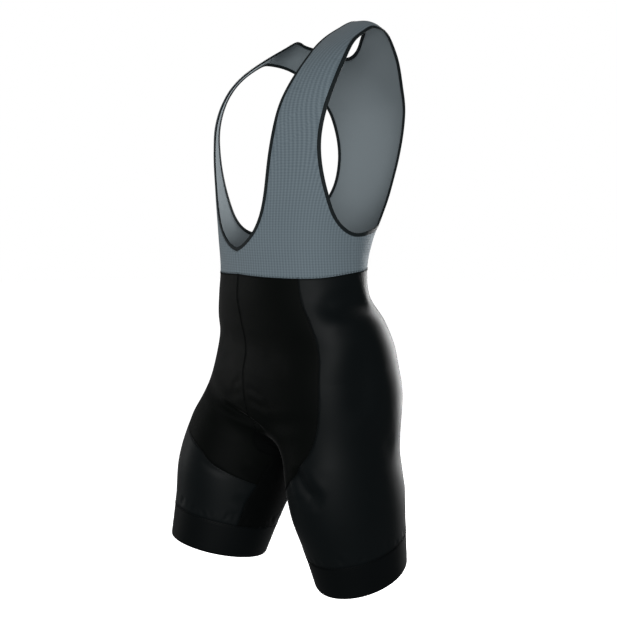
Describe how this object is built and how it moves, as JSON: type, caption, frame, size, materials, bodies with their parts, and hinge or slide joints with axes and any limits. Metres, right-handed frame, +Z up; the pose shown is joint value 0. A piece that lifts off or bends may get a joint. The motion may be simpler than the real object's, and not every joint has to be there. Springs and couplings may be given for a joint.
{
  "type": "cycling bib shorts",
  "caption": "Worn cycling bib shorts with a ribbed knitted bib, bound neck and armholes, panelled stretch legs and hem grippers, kept in a striding pose.",
  "frame": {"origin": "midway between the undersides of the two shoulder straps at their crest, where the wearer's shoulders hold the garment", "axes": "+Z up, from the hems to the straps; the front faces -Y; +X is the wearer's left"},
  "size_m": [0.3548, 0.3512, 0.8869],
  "materials": {
    "bib_knit": "matt ribbed knit",
    "edge_binding": "matt elastic binding",
    "front_knit": "matt stretch knit",
    "side_knit": "satin stretch knit",
    "inner_knit": "matt stretch knit",
    "gripper_band": "dull elastic band"
  },
  "bodies": {
    "root": {"bib": "bib_knit", "neck_binding": "edge_binding", "armhole_binding_left": "edge_binding", "armhole_binding_right": "edge_binding", "front_left": "front_knit", "front_right": "front_knit", "side_back_left": "side_knit", "side_back_right": "side_knit", "inner_leg_left": "inner_knit", "inner_leg_right": "inner_knit", "gripper_left": "gripper_band", "gripper_right": "gripper_band"}
  },
  "joints": []
}
